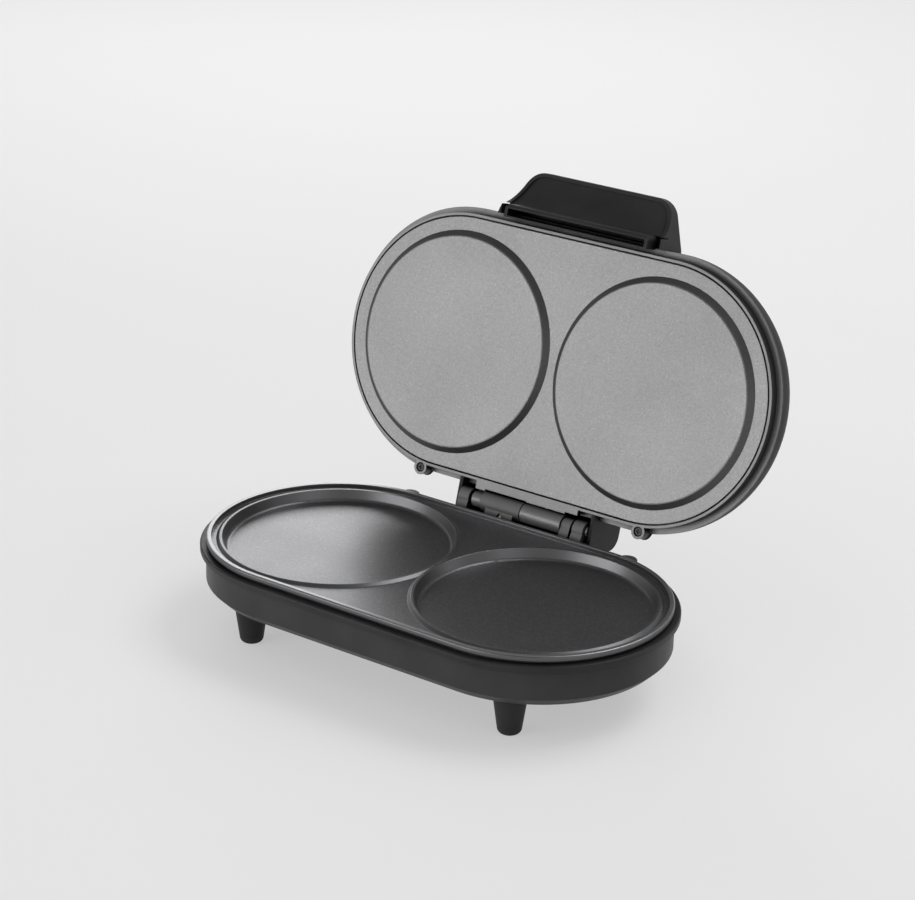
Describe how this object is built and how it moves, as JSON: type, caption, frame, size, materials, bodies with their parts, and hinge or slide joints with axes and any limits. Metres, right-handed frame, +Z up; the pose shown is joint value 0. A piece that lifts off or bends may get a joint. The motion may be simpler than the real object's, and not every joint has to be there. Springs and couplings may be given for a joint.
{
  "type": "pancake maker",
  "caption": "Countertop pancake maker with round wells side by side and a hinged lid with matching discs, shown open.",
  "frame": {"origin": "on the table under the middle of the base, midway between the centres of the two wells", "axes": "+X along the length, to the right as seen from the handle side; +Y from the front towards the hinge; +Z up"},
  "size_m": [0.405, 0.3299, 0.3262],
  "materials": {
    "black_plastic": "satin black moulded plastic",
    "frame_plastic": "satin dark grey moulded plastic",
    "base_coating": "cast aluminium under a dark non-stick coating",
    "lid_coating": "cast aluminium under a fine speckled grey non-stick coating",
    "element_steel": "heat-tinted steel sheath",
    "sheet_steel": "zinc-plated sheet",
    "reflector_sheet": "bright rolled sheet",
    "screw_steel": "plated",
    "dark_screw_steel": "blackened steel",
    "pin_steel": "ground steel",
    "foot_rubber": "matt black rubber",
    "thermostat_case": "brown phenolic with a steel flange",
    "fuse_case": "plain",
    "block_plastic": "cream moulded plastic",
    "wire_sleeve": "white silicone over glass braid",
    "board": "tan paper laminate",
    "lamp": "clear neon tube",
    "red_lens": "clear red",
    "green_lens": "clear green"
  },
  "bodies": {
    "base": {"base_ear_screws": "screw_steel", "base_frame": "black_plastic", "base_heat_shield": "sheet_steel", "base_heater": "element_steel", "base_plate": "base_coating", "base_plate_screws": "screw_steel", "base_shell": "black_plastic", "base_wires": "wire_sleeve", "cord_gland": "black_plastic", "foot_front_left": "black_plastic", "foot_front_right": "black_plastic", "foot_pad_front_left": "foot_rubber", "foot_pad_front_right": "foot_rubber", "foot_pad_rear_left": "foot_rubber", "foot_pad_rear_right": "foot_rubber", "foot_rear_left": "black_plastic", "foot_rear_right": "black_plastic", "foot_screws": "screw_steel", "fuse_clip": "sheet_steel", "hinge_pin_left": "pin_steel", "hinge_pin_right": "pin_steel", "terminal_block": "block_plastic", "terminal_screws": "screw_steel", "thermal_fuse": "fuse_case", "thermostat": "thermostat_case"},
    "lid": {"board_screws": "screw_steel", "handle_screws": "screw_steel", "indicator_lamps": "lamp", "lamp_board": "board", "lid_cover": "black_plastic", "lid_ear_screws": "dark_screw_steel", "lid_frame": "frame_plastic", "lid_handle": "black_plastic", "lid_heat_shield": "reflector_sheet", "lid_heater": "element_steel", "lid_plate": "lid_coating", "lid_plate_screws": "screw_steel", "lid_shield_screws": "screw_steel", "lid_wires": "wire_sleeve", "power_lens": "red_lens", "ready_lens": "green_lens"}
  },
  "joints": [
    {"name": "lid_hinge", "type": "hinge", "parent": "base", "child": "lid", "pos_m": [0, 0.1187, 0.0775], "axis": [1, 0, 0], "range_deg": [0, 106]}
  ]
}
